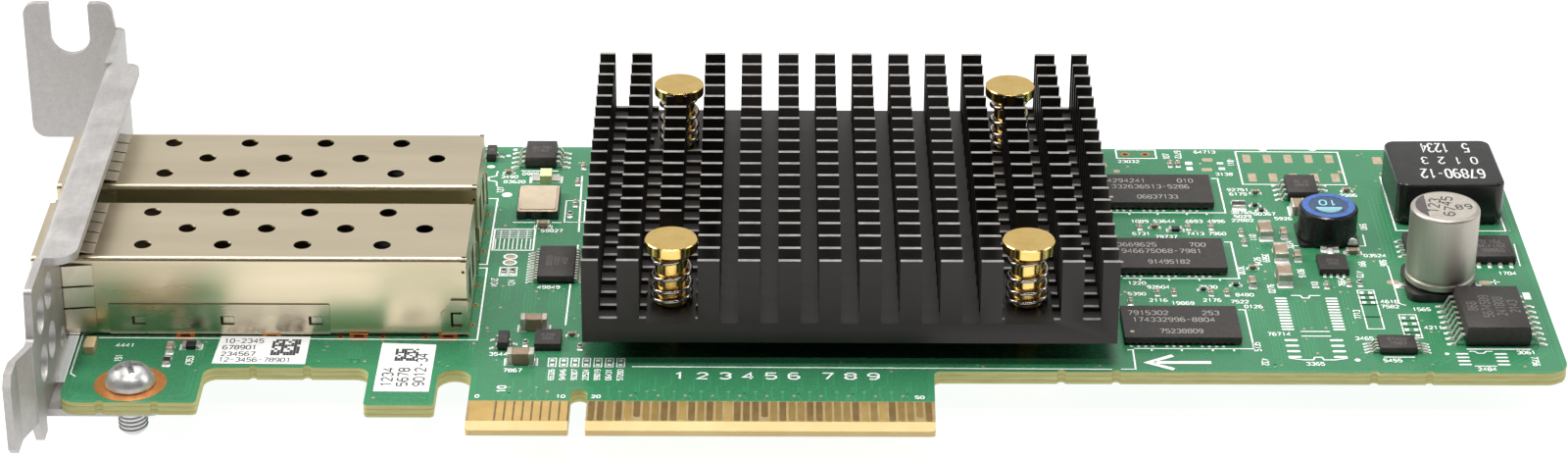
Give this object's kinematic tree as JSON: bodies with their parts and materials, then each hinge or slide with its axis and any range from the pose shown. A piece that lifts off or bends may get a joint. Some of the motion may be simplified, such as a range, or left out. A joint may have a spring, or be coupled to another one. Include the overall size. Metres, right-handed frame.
{
  "type": "network interface card",
  "caption": "Low-profile PCIe network interface card: green board with edge contacts, steel bracket, side-by-side optical module cages, pin-fin heatsink on sprung pins and surface-mount parts.",
  "frame": {"origin": "centre of the key notch on the contact edge, on the solder side of the board", "axes": "+X along the long side away from the mounting bracket, +Y from the contact edge to the back edge, +Z out of the component side"},
  "size_m": [0.1815, 0.0792, 0.0238],
  "materials": {
    "solder_mask_board": "satin green solder mask over glass-epoxy laminate",
    "zinc_steel": "matt zinc plate on folded steel",
    "screw_steel": "bright zinc plate",
    "nickel_sheet": "bright nickel plate, warm",
    "spring_sheet": "nickel plated spring strip",
    "connector_plastic": "moulded, matt",
    "gold_contact": "gold flash",
    "led_plastic": "cream moulding",
    "chip_mould": "fine matt epoxy moulding",
    "solder": "solder",
    "thermal_pad": "soft filled pad",
    "black_anodised": "black anodised, satin",
    "polished_brass": "turned and polished",
    "spring_steel": "bright spring wire",
    "tinned_lead": "tin plate",
    "black_ceramic": "fired ceramic",
    "gold_lid": "gold plated frame with a warm nickel lid",
    "choke_plastic": "glossy moulding",
    "blue_black_ferrite": "black ferrite with a blue lacquered top",
    "ferrite_base": "black ferrite",
    "can_aluminium": "drawn aluminium sleeve",
    "can_base_plastic": "moulded",
    "tan_ceramic": "fired ceramic",
    "resistor_black": "glazed film on alumina",
    "pale_ceramic": "pale yellow fired ceramic",
    "label_paper": "coated paper"
  },
  "bodies": {
    "root": {"circuit_board": "solder_mask_board", "mounting_bracket": "zinc_steel", "bracket_screws": "screw_steel", "cage_cover_a": "nickel_sheet", "cage_cover_b": "nickel_sheet", "cage_base_a": "nickel_sheet", "cage_base_b": "nickel_sheet", "emi_spring_a": "spring_sheet", "emi_spring_b": "spring_sheet", "host_connector_a": "connector_plastic", "host_connector_b": "connector_plastic", "host_contacts_a": "gold_contact", "host_contacts_b": "gold_contact", "status_led": "led_plastic", "controller_chip": "chip_mould", "controller_solder_balls": "solder", "thermal_pad": "thermal_pad", "heatsink": "black_anodised", "push_pins": "polished_brass", "pin_springs": "spring_steel", "memory_chips": "chip_mould", "memory_solder_balls": "solder", "power_chip": "chip_mould", "power_chip_leads": "tinned_lead", "flash_chip": "chip_mould", "flash_chip_leads": "tinned_lead", "logic_chip": "chip_mould", "logic_chip_leads": "tinned_lead", "buffer_chip": "chip_mould", "buffer_chip_leads": "tinned_lead", "power_transistors": "chip_mould", "power_transistor_leads": "tinned_lead", "regulator_chips": "chip_mould", "regulator_leads": "tinned_lead", "small_transistors": "chip_mould", "small_transistor_leads": "tinned_lead", "oscillator_base": "black_ceramic", "oscillator_lid": "gold_lid", "choke_body": "choke_plastic", "choke_base": "choke_plastic", "choke_pins": "tinned_lead", "inductor_core": "blue_black_ferrite", "inductor_base": "ferrite_base", "inductor_terminals": "tinned_lead", "capacitor_can": "can_aluminium", "capacitor_base": "can_base_plastic", "capacitor_leads": "tinned_lead", "chip_capacitors": "tan_ceramic", "chip_capacitor_ends": "tinned_lead", "chip_resistors": "resistor_black", "chip_resistor_ends": "tinned_lead", "signal_inductor": "pale_ceramic", "signal_inductor_ends": "tinned_lead", "long_label": "label_paper", "square_label": "label_paper"}
  },
  "joints": []
}
